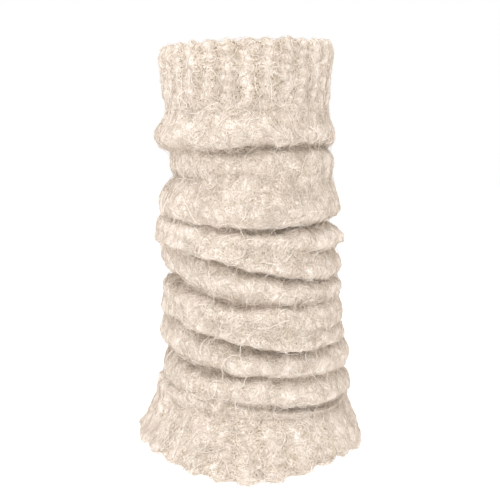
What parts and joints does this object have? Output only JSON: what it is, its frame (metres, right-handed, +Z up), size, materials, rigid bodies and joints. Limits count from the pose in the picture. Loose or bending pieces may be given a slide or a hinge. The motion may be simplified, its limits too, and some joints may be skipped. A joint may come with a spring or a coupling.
{
  "type": "knitted leg warmer",
  "caption": "Fluffy brushed-knit leg warmer, filled out as worn, with a ribbed cuff, a tube pushed down into deep slanting folds and a flared ribbed hem.",
  "frame": {"origin": "centre of the ribbed cuff, half way up it, where the cuff grips the calf", "axes": "+Z up the leg, -Y towards the toes, +X to the viewer's right when the leg is seen from the front"},
  "size_m": [0.1564, 0.1597, 0.287],
  "materials": {
    "rib_knit": "ribbed wool and alpaca knit, brushed to a long nap",
    "leg_knit": "loose wool and alpaca knit, brushed to a long curly nap"
  },
  "bodies": {
    "root": {"rib_cuff": "rib_knit", "leg_tube": "leg_knit", "rib_hem": "rib_knit"}
  },
  "joints": []
}
